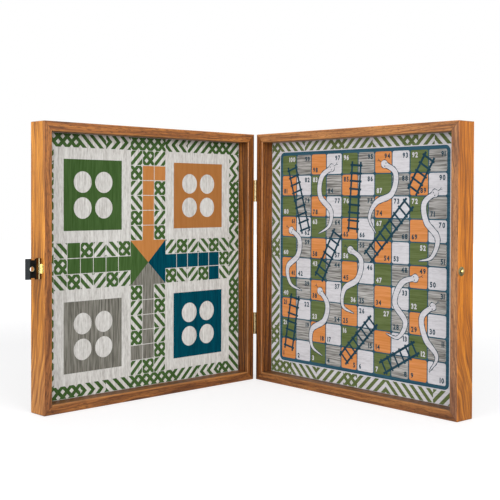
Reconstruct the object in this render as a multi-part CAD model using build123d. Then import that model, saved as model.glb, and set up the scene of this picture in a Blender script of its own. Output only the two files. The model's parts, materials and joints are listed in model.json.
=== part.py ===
from build123d import *
import os

os.makedirs("parts", exist_ok=True)

# A games compendium box: two square wooden trays, hinged like a book, that close into one case.
# Each tray is a mitred hardwood frame whose groove carries a core panel with a printed veneer on
# either side, so every tray has one board inside and one outside.  The box stands on edge, open.
#
# Frame: origin in the middle of the underside of the ludo tray, +Z up.  The ludo tray lies along X
# with its hinge side at +X and its rim facing -Y.  The snakes tray swings about the vertical hinge
# pins; it is modelled shut against the ludo tray and then turned open.

# ---- trays ----
tray_width = 340.0          # outside, from the hinge side to the latch side
tray_height = 340.0         # outside, along the hinge pins
tray_depth = 28.0           # from the rim to the back of the frame
wall = 11.5                 # thickness of the frame bars
recess_depth = 19.0         # from the rim to the inner board
core_thickness = 4.8
veneer_thickness = 0.6
groove_depth = 5.0
groove_gap = 0.05           # play on each face of the panel in its groove
panel_float = 0.5           # room for the panel at the bottom of the groove
outer_edge_round = 0.8
rim_edge_round = 1.5        # eased inner edge of the rim, where fingers go
back_edge_round = 0.5
corner_round = 1.2          # the four outside corners of a tray

# ---- opening ----
closing_gap = 0.3           # between the two rims when the box is shut
open_angle = 86.7           # from shut to the pose that is modelled

# ---- butt hinges on the outside of the hinge stiles ----
hinge_length = 30.0
hinge_inset = 63.0          # from the end of a tray to the near end of its hinge
hinge_knuckles = 3
knuckle_gap = 0.2           # between neighbouring knuckles, and round them
barrel_radius = 2.1
barrel_stand_off = 0.2      # daylight between barrel and wood
leaf_width = 10.5           # from the barrel's axis to the free edge of a leaf
leaf_thickness = 1.0
leaf_corner = 1.0
hinge_pin_radius = 0.9
pin_play = 0.05             # running clearance of every pin in its knuckles
hinge_screw_spacing = 18.0
hinge_screw_offset = 6.4    # from the barrel's axis to the line of screws

# ---- heads of the countersunk brass wood screws ----
screw_head_radius = 2.2
screw_neck_radius = 1.1
screw_play = 0.05

# ---- hasp latch on the outside of the latch stile ----
latch_height = 23.9
latch_knuckle_height = 10.7
latch_axis_depth = 5.3      # pin axis behind the rim
latch_axis_height = 2.2     # pin axis above the wood
latch_knuckle_radius = 1.9
flap_knuckle_radius = 1.25
latch_pin_radius = 0.7
latch_knuckle_gap = 0.2
base_thickness = 0.8
base_reach = 9.7            # from the pin axis to the plate's far edge
tongue_reach = 4.8          # from the pin axis to the tip of the tongue at the rim
tongue_thickness = 1.1
tongue_end_thickness = 0.5
tongue_end_round = 2.1
knuckle_shoulder = 1.7      # height of the wrap under the knuckle
knuckle_shoulder_reach = 1.15
flap_thickness = 1.0
flap_length = 18.7          # from the pin axis to the tip
flap_offset = 0.5           # step that brings the flap down to the strike side
flap_step_start = 2.4
flap_step_end = 4.9
flap_lip_start = 13.2
flap_lip_lift = 1.2
waist_start = 6.9
waist_end = 12.2
waist_depth = 1.7
flap_corner = 0.6
nail_shank_radius = 0.6
nail_head_radius = 1.3
nail_head_height = 0.45
nail_length = 7.0
nail_spacing = 15.0
nail_offset = 7.0           # from the pin axis to the line of nails

# ---- button stud that the flap snaps over ----
stud_depth = 5.3            # stud axis behind the rim of the snakes tray
button_radius = 2.4
button_height = 3.2         # top of the dome above the wood
button_edge = 2.1           # height of its flat underside
neck_radius = 1.3
stud_shank_length = 8.0
rosette_radius = 5.3
rosette_thickness = 0.8
rosette_rim = 0.35          # its thickness at the edge
rosette_boss = 1.2          # width of the flat round the neck
stud_play = 0.05
hole_clearance = 0.3        # between the button and the hole in the flap

# ---- places that follow from the sizes ----
panel_stack = core_thickness + 2 * veneer_thickness
groove_width = panel_stack + 2 * groove_gap
panel_overlap = groove_depth - panel_float
panel_width = tray_width - 2 * wall + 2 * panel_overlap
panel_height = tray_height - 2 * wall + 2 * panel_overlap
rim_y = -tray_depth / 2
board_y = rim_y + recess_depth
hinge_face_x = tray_width / 2
latch_face_x = -tray_width / 2
barrel_x = hinge_face_x + barrel_radius + barrel_stand_off
fold_y = rim_y - closing_gap / 2
latch_z = tray_height / 2
latch_axis_x = latch_face_x - latch_axis_height
latch_axis_y = rim_y + latch_axis_depth
stud_y = rim_y - closing_gap - stud_depth
flap_hole_reach = latch_axis_y - stud_y
fold_plane = Plane(origin=(0, fold_y, 0), z_dir=(0, 1, 0))
fold_axis = Axis((barrel_x, fold_y, 0), (0, 0, 1))


def upright(radius, height, x, y, z):
    """A vertical cylinder that starts at height z."""
    bottom = (Align.CENTER, Align.CENTER, Align.MIN)
    return Pos(x, y, z) * Cylinder(radius, height, align=bottom)


def swung_open(closed_part):
    """Carry a part of the snakes tray from the shut box to the open one."""
    return closed_part.rotate(fold_axis, open_angle)


def facing(closed_part):
    """The snakes tray's copy of a part of the ludo tray, across the joint between the rims."""
    return mirror(closed_part, about=fold_plane)


# ---------------------------------------------------------------- frame and panels
def bar_section():
    """Section of a frame bar: Y is the tray's depth, Z runs inwards from the outer face."""
    half = tray_depth / 2
    groove_start = board_y - groove_gap
    outline = Polyline(
        (0, -half, 0),
        (0, -half, wall),
        (0, groove_start, wall),
        (0, groove_start, wall - groove_depth),
        (0, groove_start + groove_width, wall - groove_depth),
        (0, groove_start + groove_width, wall),
        (0, half, wall),
        (0, half, 0),
        close=True,
    )
    section = make_face(outline.edges())
    rounds = [
        (-half, 0, outer_edge_round),
        (half, 0, outer_edge_round),
        (-half, wall, rim_edge_round),
        (half, wall, back_edge_round),
    ]
    for y, z, radius in rounds:
        corner = section.vertices().sort_by_distance((0, y, z))[0]
        section = fillet(corner, radius)
    return section


def frame_bar(length):
    """A mitred bar along X with its outer face on z = 0."""
    straight = Pos(-length / 2, 0, 0) * extrude(bar_section(), length, dir=(1, 0, 0))
    half = length / 2
    mitre = Polyline(
        (-half, 0, 0), (half, 0, 0), (half - wall, 0, wall), (-half + wall, 0, wall), close=True
    )
    block = extrude(make_face(mitre.edges()), tray_depth, dir=(0, 1, 0), both=True)
    return straight & block


def corner_rounding():
    """The tray's outline with its rounded corners, as a block right through the tray."""
    outline = Plane.XZ * RectangleRounded(tray_width, tray_height, corner_round)
    return Pos(0, 0, tray_height / 2) * extrude(outline, tray_depth, both=True)


def frame_bars():
    """The four bars of a tray by the side they are on."""
    long_bar = frame_bar(tray_width)
    tall_bar = frame_bar(tray_height)
    outline = corner_rounding()
    middle = tray_height / 2
    bars = {
        "bottom_rail": long_bar,
        "top_rail": Pos(0, 0, tray_height) * Rot(0, 180, 0) * long_bar,
        "hinge_stile": Pos(hinge_face_x, 0, middle) * Rot(0, -90, 0) * tall_bar,
        "latch_stile": Pos(latch_face_x, 0, middle) * Rot(0, 90, 0) * tall_bar,
    }
    return {side: bar & outline for side, bar in bars.items()}


def board_layer(front_y, thickness):
    """A sheet of the panel stack whose front lies at front_y."""
    place = Pos(0, front_y + thickness / 2, tray_height / 2)
    return place * Box(panel_width, thickness, panel_height)


def board_layers():
    """Printed veneer, core and printed veneer, from the inside of the tray outwards."""
    core_y = board_y + veneer_thickness
    return {
        "inner": board_layer(board_y, veneer_thickness),
        "core": board_layer(core_y, core_thickness),
        "outer": board_layer(core_y + core_thickness, veneer_thickness),
    }


# ---------------------------------------------------------------- screws
def screw_head():
    """A countersunk head that fills the leaf's thickness, its flat on z = 0 and its neck on the wood."""
    return Pos(0, 0, -leaf_thickness / 2) * Cone(screw_neck_radius, screw_head_radius, leaf_thickness)


def countersunk_hole():
    """The matching hole down through a leaf whose face is on z = 0."""
    top = screw_head_radius + screw_play
    bottom = screw_neck_radius + screw_play
    return Pos(0, 0, -leaf_thickness / 2) * Cone(bottom, top, leaf_thickness)


# ---------------------------------------------------------------- hinges
hinge_starts = {"lower": hinge_inset, "upper": tray_height - hinge_inset - hinge_length}


def hinge_screw_places(start_z):
    """Places on the ludo leaf's outer face, with the local Z pointing out of the wood."""
    y = fold_y + hinge_screw_offset
    middle = start_z + hinge_length / 2
    heights = [middle - hinge_screw_spacing / 2, middle + hinge_screw_spacing / 2]
    return [Pos(hinge_face_x + leaf_thickness, y, z) * Rot(0, 90, 0) for z in heights]


def hinge_leaf(start_z, first_knuckle):
    """The leaf on the ludo tray's side; its knuckles are every other one from first_knuckle."""
    pitch = hinge_length / hinge_knuckles
    free_y = fold_y + leaf_width
    inner_y = fold_y + closing_gap / 2
    plate = Plane.YZ * Rectangle(free_y - inner_y, hinge_length)
    plate = extrude(plate, leaf_thickness)
    plate = Pos(hinge_face_x, (free_y + inner_y) / 2, start_z + hinge_length / 2) * plate
    free_edges = plate.edges().filter_by(Axis.X).group_by(Axis.Y)[-1]
    leaf = fillet(free_edges, leaf_corner)
    for index in range(hinge_knuckles):
        z = start_z + index * pitch
        if index % 2 == first_knuckle:
            trim = knuckle_gap / 2
            leaf += upright(barrel_radius, pitch - 2 * trim, barrel_x, fold_y, z + trim)
        else:
            leaf -= upright(barrel_radius + knuckle_gap, pitch, barrel_x, fold_y, z)
    leaf -= upright(hinge_pin_radius + pin_play, hinge_length, barrel_x, fold_y, start_z)
    for place in hinge_screw_places(start_z):
        leaf -= place * countersunk_hole()
    return leaf


def hinge_pin(start_z):
    """A plain pin that ends flush with the barrel."""
    return upright(hinge_pin_radius, hinge_length, barrel_x, fold_y, start_z)


def hinge_screws(start_z):
    return [place * screw_head() for place in hinge_screw_places(start_z)]


# ---------------------------------------------------------------- latch
def latch_local(part):
    """From the latch's own frame to the box: local X outwards, Y along the flap, Z up."""
    return Pos(latch_face_x, latch_axis_y, latch_z) * Rot(0, 0, 180) * part


def plate_from_section(points, height):
    """Sheet metal bent about Z: the section's points are (height above wood, reach)."""
    section = make_face(Polyline(*points, close=True).edges())
    return extrude(section, height / 2, both=True)


def nail_places():
    half = nail_spacing / 2
    return [Pos(0, -nail_offset, z) * Rot(0, 90, 0) for z in (-half, half)]


def latch_base():
    """Plate on the wood, a raised knuckle, and a tongue that runs out towards the rim."""
    clear = flap_knuckle_radius + latch_knuckle_gap
    plate = Pos(0, -(base_reach + clear) / 2, 0) * Box(
        base_thickness, base_reach - clear, latch_height, align=(Align.MIN, Align.CENTER, Align.CENTER)
    )
    corners = plate.edges().filter_by(Axis.X).group_by(Axis.Y)[0]
    base = fillet(corners, flap_corner)
    tongue_section = [
        (0, -clear),
        (base_thickness, -clear),
        (knuckle_shoulder, -knuckle_shoulder_reach),
        (knuckle_shoulder, knuckle_shoulder_reach),
        (tongue_thickness, latch_knuckle_radius),
        (tongue_end_thickness, tongue_reach),
        (0, tongue_reach),
    ]
    tongue = plate_from_section(tongue_section, latch_knuckle_height)
    tip = tongue.edges().filter_by(Axis.X).group_by(Axis.Y)[-1]
    base += fillet(tip, tongue_end_round)
    base += Pos(latch_axis_height, 0, 0) * Cylinder(latch_knuckle_radius, latch_knuckle_height)
    base -= Pos(latch_axis_height, 0, 0) * Cylinder(latch_pin_radius + pin_play, latch_height)
    for place in nail_places():
        base -= place * Cylinder(nail_shank_radius + pin_play, 4 * base_thickness)
    return base


def latch_flap():
    """The flap in its shut position: a stepped plate with a waist, a lifting lip and one hole."""
    half = flap_thickness / 2
    middle = latch_axis_height
    low = middle - flap_offset
    tip = low + flap_lip_lift
    centre_line = [
        (middle, 0),
        (middle, flap_step_start),
        (low, flap_step_end),
        (low, flap_lip_start),
        (tip, flap_length),
    ]
    lower_side = [(x - half, y) for x, y in centre_line]
    upper_side = [(x + half, y) for x, y in reversed(centre_line)]
    flap = plate_from_section(lower_side + upper_side, latch_height)

    for side in (-1, 1):
        edge_z = side * latch_height / 2
        length = waist_end - waist_start
        waist = Box(6 * flap_thickness, length, 2 * waist_depth)
        waist = fillet(waist.edges().filter_by(Axis.X), flap_corner)
        flap -= Pos(low, waist_start + length / 2, edge_z) * waist
    tips = flap.edges().filter_by(Axis.X).group_by(Axis.Y)[-1]
    flap = fillet(tips, flap_corner)

    knuckle = (latch_height - latch_knuckle_height) / 2 - latch_knuckle_gap
    for side in (-1, 1):
        z = side * (latch_height - knuckle) / 2
        flap += Pos(middle, 0, z) * Cylinder(flap_knuckle_radius, knuckle)
    gap_height = latch_knuckle_height + 2 * latch_knuckle_gap
    flap -= Pos(middle, 0, 0) * Cylinder(latch_knuckle_radius + latch_knuckle_gap, gap_height)
    flap -= Pos(middle, 0, 0) * Cylinder(latch_pin_radius + pin_play, latch_height)
    hole = Cylinder(button_radius + hole_clearance, 6 * flap_thickness)
    return flap - Pos(low, flap_hole_reach, 0) * Rot(0, 90, 0) * hole


def latch_pin():
    return Pos(latch_axis_height, 0, 0) * Cylinder(latch_pin_radius, latch_height)


def nail():
    """A flat-topped brass nail pointing down, with the underside of its head on z = 0."""
    profile = Polyline(
        (0, nail_head_height),
        (nail_head_radius, nail_head_height),
        (nail_head_radius, 0),
        (nail_shank_radius, 0),
        (nail_shank_radius, -nail_length),
        (0, -nail_length),
        close=True,
    )
    return revolve(Plane.XZ * make_face(profile.edges()), Axis.Z)


def latch_nails():
    return [Pos(base_thickness, 0, 0) * place * nail() for place in nail_places()]


def drilled_latch_stile(stile):
    for place in nail_places():
        depth = nail_length - base_thickness + nail_shank_radius
        hole = Pos(0, 0, -depth / 2) * Cylinder(nail_shank_radius + pin_play, depth)
        stile -= latch_local(place * hole)
    return stile


# ---------------------------------------------------------------- button stud
def stud_place():
    """On the latch side of the shut snakes tray, local Z pointing out of the wood."""
    return Pos(latch_face_x, stud_y, latch_z) * Rot(0, -90, 0)


def button_stud():
    """A domed button on a short neck, with a shank in the wood."""
    top = (0, button_height)
    edge = (button_radius, button_edge)
    dome = TangentArc(top, edge, tangent=(1, 0))
    underside_and_shank = Polyline(
        edge, (neck_radius, button_edge), (neck_radius, -stud_shank_length), (0, -stud_shank_length), top
    )
    profile = make_face(dome.edges() + underside_and_shank.edges())
    return revolve(Plane.XZ * profile, Axis.Z)


def rosette():
    """A turned plate that rises from a thin rim to a flat boss round the neck."""
    hole = neck_radius + stud_play
    profile = Polyline(
        (hole, 0),
        (rosette_radius, 0),
        (rosette_radius, rosette_rim),
        (hole + rosette_boss, rosette_thickness),
        (hole, rosette_thickness),
        close=True,
    )
    return revolve(Plane.XZ * make_face(profile.edges()), Axis.Z)


def drilled_stud_stile(stile):
    depth = stud_shank_length + stud_play
    hole = Pos(0, 0, -depth / 2) * Cylinder(neck_radius + stud_play, depth)
    return stile - stud_place() * hole


# ---------------------------------------------------------------- assembly
nodes = {}
bars = frame_bars()
layers = board_layers()

# Ludo tray, with the printed ludo board inside and a chequered board outside.
nodes["ludo_bottom_rail"] = bars["bottom_rail"]
nodes["ludo_top_rail"] = bars["top_rail"]
nodes["ludo_hinge_stile"] = bars["hinge_stile"]
nodes["ludo_latch_stile"] = drilled_latch_stile(bars["latch_stile"])
nodes["ludo_board"] = layers["inner"]
nodes["ludo_core_panel"] = layers["core"]
nodes["chess_board"] = layers["outer"]

# Snakes tray, with the snakes and ladders board inside and a backgammon board outside.
nodes["snakes_bottom_rail"] = swung_open(facing(bars["bottom_rail"]))
nodes["snakes_top_rail"] = swung_open(facing(bars["top_rail"]))
nodes["snakes_hinge_stile"] = swung_open(facing(bars["hinge_stile"]))
nodes["snakes_stud_stile"] = swung_open(drilled_stud_stile(facing(bars["latch_stile"])))
nodes["snakes_board"] = swung_open(facing(layers["inner"]))
nodes["snakes_core_panel"] = swung_open(facing(layers["core"]))
nodes["backgammon_board"] = swung_open(facing(layers["outer"]))

for place_name, start in hinge_starts.items():
    nodes[f"{place_name}_hinge_ludo_leaf"] = hinge_leaf(start, 0)
    nodes[f"{place_name}_hinge_snakes_leaf"] = swung_open(facing(hinge_leaf(start, 1)))
    nodes[f"{place_name}_hinge_pin"] = hinge_pin(start)
    screws = hinge_screws(start)
    nodes[f"{place_name}_hinge_ludo_screws"] = Compound(children=[s.solid() for s in screws])
    far_screws = [swung_open(facing(s.solid())) for s in screws]
    nodes[f"{place_name}_hinge_snakes_screws"] = Compound(children=far_screws)

# Latch: the flap stands straight out from the side while the box is open.
flap_axis = Axis((latch_axis_x, latch_axis_y, 0), (0, 0, 1))
nodes["latch_base"] = latch_local(latch_base())
nodes["latch_pin"] = latch_local(latch_pin())
nodes["latch_nails"] = Compound(children=[latch_local(n).solid() for n in latch_nails()])
nodes["latch_flap"] = latch_local(latch_flap()).rotate(flap_axis, -90)

nodes["catch_stud"] = swung_open(stud_place() * button_stud())
nodes["catch_rosette"] = swung_open(stud_place() * rosette())

for node, solid in nodes.items():
    export_step(solid, f"parts/{node}.step")
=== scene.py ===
import json
import random
from math import ceil, cos, floor, pi, radians, sin, sqrt

import bmesh
import bpy
from mathutils import Matrix, Vector


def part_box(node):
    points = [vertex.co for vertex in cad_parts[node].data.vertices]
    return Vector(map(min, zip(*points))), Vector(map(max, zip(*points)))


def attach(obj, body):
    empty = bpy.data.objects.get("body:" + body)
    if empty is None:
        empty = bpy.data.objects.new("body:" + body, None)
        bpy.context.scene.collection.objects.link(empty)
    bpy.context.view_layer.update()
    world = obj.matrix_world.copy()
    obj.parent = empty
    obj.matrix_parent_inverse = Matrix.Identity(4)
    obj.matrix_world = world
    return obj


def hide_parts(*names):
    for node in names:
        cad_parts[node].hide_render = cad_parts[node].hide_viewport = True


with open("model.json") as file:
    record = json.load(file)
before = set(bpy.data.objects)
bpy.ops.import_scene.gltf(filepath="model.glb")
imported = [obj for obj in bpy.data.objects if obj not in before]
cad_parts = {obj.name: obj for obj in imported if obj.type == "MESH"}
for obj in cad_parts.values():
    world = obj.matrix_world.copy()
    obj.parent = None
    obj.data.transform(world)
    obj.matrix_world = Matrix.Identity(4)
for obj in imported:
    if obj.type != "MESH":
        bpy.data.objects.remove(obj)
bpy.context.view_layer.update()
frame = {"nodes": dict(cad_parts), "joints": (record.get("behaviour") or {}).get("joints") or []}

# A games compendium box, open on its edge: two hinged trays with a ludo board and a snakes and
# ladders board inside, a chessboard and a backgammon board outside.  The frame, hinges and latch
# come from the CAD model; this script adds the wood, metal and veneer, and prints the boards.

scene = bpy.context.scene
scene.view_settings.view_transform = "Standard"
MM = 0.001
UP = Vector((0, 0, 1))
X_AXIS = Vector((1, 0, 0))


# ======== places taken from the frame
def joint_named(name):
    return next(joint for joint in frame["joints"] if joint["name"] == name)


rail_low, rail_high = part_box("ludo_bottom_rail")
half_width = rail_high.x
half_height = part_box("ludo_top_rail")[1].z / 2
wall = rail_high.z
rim_y = rail_low.y
board_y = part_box("ludo_board")[0].y
outer_board_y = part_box("chess_board")[1].y
sheet_half = (half_width - wall) / MM   # half of a board between the walls, in millimetres

fold = joint_named("tray_fold")
fold_point = Vector(fold["pos_m"])
opened = Matrix.Rotation(radians(-fold["range_deg"][0]), 4, "Z")
swing = Matrix.Translation(fold_point) @ opened @ Matrix.Translation(-fold_point)

latch_axis = Vector(joint_named("latch_turn")["pos_m"])
latch_axis.z = half_height


def across_fold(y):
    """The same depth on the shut snakes tray as y is on the ludo tray."""
    return 2 * fold_point.y - y


def axes_at(origin, x_axis, y_axis, z_axis):
    turn = Matrix((x_axis, y_axis, z_axis)).transposed()
    return Matrix.Translation(origin) @ turn.to_4x4()


def board_face(y, right):
    """Axes of a board face at rest: X to the viewer's right, Y up, Z out of the face."""
    return axes_at(Vector((0, y, half_height)), right, UP, right.cross(UP))


ludo_face = board_face(board_y, X_AXIS)
chess_face = board_face(outer_board_y, -X_AXIS)
snakes_face = swing @ board_face(across_fold(board_y), -X_AXIS)
backgammon_face = swing @ board_face(across_fold(outer_board_y), X_AXIS)


def bar_axes(tray, side):
    """Axes of a frame bar: X along it, Y from the rim to the back, Z in from its outer face."""
    inwards = {"bottom": UP, "top": -UP, "hinge": -X_AXIS, "far": X_AXIS}[side]
    depth = Vector((0, 1 if tray == "ludo" else -1, 0))
    along = depth.cross(inwards)
    rim = rim_y if tray == "ludo" else across_fold(rim_y)
    half = Vector((half_width, 0, half_height))
    corner = Vector((0, rim, half_height)) - half * (along + inwards)
    place = axes_at(corner, along, depth, inwards)
    return place if tray == "ludo" else swing @ place


def linked(name, data):
    """A new object with this data, in the scene."""
    piece = bpy.data.objects.new(name, data)
    scene.collection.objects.link(piece)
    return piece


# ======== colours and nodes
def paint(*levels):
    """A colour as it is seen on screen, 0 to 255, in the units that shaders use."""
    shares = [level / 255 for level in levels]
    return (*[s / 12.92 if s <= 0.04045 else ((s + 0.055) / 1.055) ** 2.4 for s in shares], 1.0)


WHITE = (1.0, 1.0, 1.0, 1.0)
SEED_STEP = (7.3, 3.1, 5.7)  # from one seed to the next, in the noise


class Nodes:
    """Short calls for the nodes of one tree."""

    def __init__(self, tree):
        self.tree = tree

    def add(self, kind, inputs, **settings):
        node = self.tree.nodes.new("ShaderNode" + kind)
        for key, value in settings.items():
            setattr(node, key, value)
        for key, value in inputs.items():
            self.put(node.inputs[key], value)
        return node

    def put(self, socket, value):
        if isinstance(value, bpy.types.NodeSocket):
            self.tree.links.new(value, socket)
        else:
            socket.default_value = value

    def math(self, operation, first, second=0.0, third=0.0):
        return self.add("Math", {0: first, 1: second, 2: third}, operation=operation).outputs[0]

    def plus(self, first, second):
        return self.math("ADD", first, second)

    def minus(self, first, second):
        return self.math("SUBTRACT", first, second)

    def times(self, first, second):
        return self.math("MULTIPLY", first, second)

    def times_plus(self, first, second, third):
        return self.math("MULTIPLY_ADD", first, second, third)

    def fade(self, value, start, end):
        """0 where value is at start, 1 at end, smooth in between."""
        inputs = {"Value": value, "From Min": start, "From Max": end}
        return self.add("MapRange", inputs, interpolation_type="SMOOTHSTEP").outputs[0]

    def between(self, value, low, high):
        """A value from 0 to 1 spread from low to high."""
        return self.add("MapRange", {"Value": value, "To Min": low, "To Max": high}).outputs[0]

    def place(self, axes=None):
        """Where a point is, in the object's own axes or in the given ones, in metres."""
        here = self.add("TexCoord", {}).outputs["Object"]
        if axes is None:
            return here
        back = axes.inverted()
        turned = {"Vector": here, "Location": back.translation, "Rotation": back.to_euler()}
        return self.add("Mapping", turned, vector_type="POINT").outputs[0]

    def parts(self, vector):
        return self.add("SeparateXYZ", {0: vector}).outputs

    def join(self, x, y, z=0.0):
        return self.add("CombineXYZ", {0: x, 1: y, 2: z}).outputs[0]

    def length(self, vector):
        return self.add("VectorMath", {0: vector}, operation="LENGTH").outputs["Value"]

    def scaled(self, vector, level):
        return self.add("VectorMath", {0: vector, "Scale": level}, operation="SCALE").outputs[0]

    def noise(self, place, scales=None, seed=0.0, **shape):
        """Noise from 0 to 1, with as many waves in a metre along each axis as scales says."""
        if scales:
            moved = {0: place, 1: scales, 2: [seed * step for step in SEED_STEP]}
            place = self.add("VectorMath", moved, operation="MULTIPLY_ADD").outputs[0]
        inputs = {"Vector": place, "Scale": 1.0}
        inputs.update((key.title(), value) for key, value in shape.items())
        return self.add("TexNoise", inputs).outputs[0]

    def ramp(self, value, positions, colours):
        """Colours as they are seen on screen, spread over values from 0 to 1."""
        node = self.add("ValToRGB", {0: value})
        marks = node.color_ramp.elements
        while len(marks) < len(positions):
            marks.new(1.0)
        for mark, position, colour in zip(marks, positions, colours):
            mark.position = position
            mark.color = paint(*colour)
        return node.outputs[0]

    def mix(self, amount, first, second, blend="MIX"):
        node = self.add("Mix", {0: amount, 6: first, 7: second}, data_type="RGBA", blend_type=blend)
        return node.outputs[2]

    def seen_by(self, *kinds):
        """1 for rays of any of these kinds, and 0 for the light that falls on the object."""
        path = self.add("LightPath", {}).outputs
        total = path[kinds[0]]
        for kind in kinds[1:]:
            total = self.math("MAXIMUM", total, path[kind])
        return total


class Finish(Nodes):
    """A material with one Principled surface."""

    def __init__(self, name):
        self.material = bpy.data.materials.new(name)
        self.material.use_nodes = True
        super().__init__(self.material.node_tree)
        self.surface = self.tree.nodes["Principled BSDF"]

    def set(self, **values):
        for key, value in values.items():
            self.put(self.surface.inputs[key.replace("_", " ")], value)

    def bump(self, height, depth):
        node = self.add("Bump", {"Height": height, "Strength": 1.0, "Distance": depth})
        self.set(Normal=node.outputs[0])


# ======== camera, light and floor
CAMERA_PLACE = Vector((-0.7795, -0.9628, 0.2514))
CAMERA_YAW = radians(43.896)  # from +Y towards +X
CAMERA_PITCH = radians(0.982)  # downwards
CAMERA_ROLL = radians(0.184)
SENSOR_WIDTH = 36.0  # millimetres
FOCAL_LENGTH = 69.6
FRAME_SHIFT = (0.03, -0.07)
NEAREST = 0.01

WORLD_FILL = 0.36  # what the room gives to the object
FLOOR_HALF = 4.0
FLOOR_LEVEL = -0.2 * MM
FLOOR_TONE = (0.42, 0.42, 0.43, 1.0)
# What the floor glows for the camera alone, near and far from the box, to stay white.
FLOOR_GLOW = {"From Min": 0.5, "From Max": 2.0, "To Min": 0.62, "To Max": 0.95}

# Place, target, side in metres and watts of each lamp.
SOFTBOXES = {
    "left_softbox": ((-2.1, -0.35, 0.7), (0.0, -0.15, 0.2), 1.2, 27.2),
    "right_softbox": ((-0.3, -2.2, 1.0), (0.1, -0.2, 0.2), 1.2, 28.0),
    "front_softbox": ((-2.1, -2.3, 1.1), (0.0, -0.1, 0.15), 2.2, 39.0),
}


def add_camera():
    data = bpy.data.cameras.new("camera")
    data.sensor_width = SENSOR_WIDTH
    data.lens = FOCAL_LENGTH
    data.shift_x, data.shift_y = FRAME_SHIFT
    data.clip_start = NEAREST
    ahead = Vector((
        sin(CAMERA_YAW) * cos(CAMERA_PITCH),
        cos(CAMERA_YAW) * cos(CAMERA_PITCH),
        -sin(CAMERA_PITCH),
    ))
    level_right = Vector((cos(CAMERA_YAW), -sin(CAMERA_YAW), 0))
    level_up = level_right.cross(ahead)
    right = cos(CAMERA_ROLL) * level_right + sin(CAMERA_ROLL) * level_up
    scene.camera = linked("camera", data)
    scene.camera.matrix_world = axes_at(CAMERA_PLACE, right, right.cross(ahead), -ahead)


def add_softboxes():
    for name, (place, target, side, watts) in SOFTBOXES.items():
        data = bpy.data.lights.new(name, "AREA")
        data.shape = "SQUARE"
        data.size = side
        data.energy = watts
        lamp = linked(name, data)
        lamp.location = place
        beam = Vector(target) - Vector(place)
        lamp.rotation_euler = beam.to_track_quat("-Z", "Y").to_euler()


def add_world():
    scene.world = bpy.data.worlds.new("studio")
    scene.world.use_nodes = True
    room = Nodes(scene.world.node_tree)
    room.tree.nodes.clear()
    fill = room.add("Background", {"Color": WHITE, "Strength": WORLD_FILL}).outputs[0]
    backdrop = room.add("Background", {"Color": WHITE, "Strength": 1.0}).outputs[0]
    seen = room.seen_by("Is Camera Ray", "Is Glossy Ray", "Is Transmission Ray")
    mixed = room.add("MixShader", {0: seen, 1: fill, 2: backdrop}).outputs[0]
    room.add("OutputWorld", {"Surface": mixed})


def add_floor():
    mesh = bpy.data.meshes.new("floor")
    outline = rectangle(-FLOOR_HALF, -FLOOR_HALF, FLOOR_HALF, FLOOR_HALF)
    mesh.from_pydata([(x, y, FLOOR_LEVEL) for x, y in outline], [], [(0, 1, 2, 3)])
    floor = linked("floor", mesh)
    pale = Finish("pale_floor")
    glow = pale.add("MapRange", {"Value": pale.length(pale.place()), **FLOOR_GLOW}).outputs[0]
    pale.set(Base_Color=FLOOR_TONE, Roughness=0.7, Emission_Color=WHITE)
    pale.set(Emission_Strength=pale.times(pale.seen_by("Is Camera Ray"), glow))
    mesh.materials.append(pale.material)


# ======== wood, veneer, ink and metal
WOOD_TONES = ((190, 124, 60), (160, 98, 46), (126, 74, 34), (80, 45, 22))
LATE_TONE = paint(80, 45, 22)
RIM_GLEAM = paint(200, 142, 84)
PORE_TONE = paint(66, 34, 14)
# painted shade where the board meets the wall
CORNER_SHADE_TONE = paint(52, 32, 18)
SEAM_TONE = paint(56, 30, 16)
FOOT_SHADE_RIM = (0.69, 0.68, 0.80, 1.0)  # painted shade: the wood is darker towards the foot of the box
FOOT_SHADE_OUTER = (0.80, 0.87, 1.75, 1.0)

WANDER_REACH = 7.3  # in rings
FINE_LINES = 640.0  # in a metre, as is the next
RING_LINES = 150.0
RUNOUT_HEIGHT = 160.0 * MM  # the grain runs out of the wood below this

# How far from a face or an edge each mark on a bar begins to show, and where it is whole.
OUTER_FACE = (1.2 * MM, 0.2 * MM)
INNER_WALL = (0.6 * MM, 0.1 * MM)
BEHIND_RIM = (0.5 * MM, 2.0 * MM)
ABOVE_FLOOR = (130.0 * MM, 10.0 * MM)
# painted highlight along the rim's inner edge:
EDGE_HIGHLIGHT = (2.6 * MM, 0.8 * MM)
# painted shade where the board meets the wall, from the board and from the wall:
SHADE_FROM_BOARD = (1.6 * MM, 0.3 * MM)
SHADE_FROM_WALL = (1.0 * MM, 0.2 * MM)
MITRE_SEAM = (0.55 * MM, 0.1 * MM)


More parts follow.
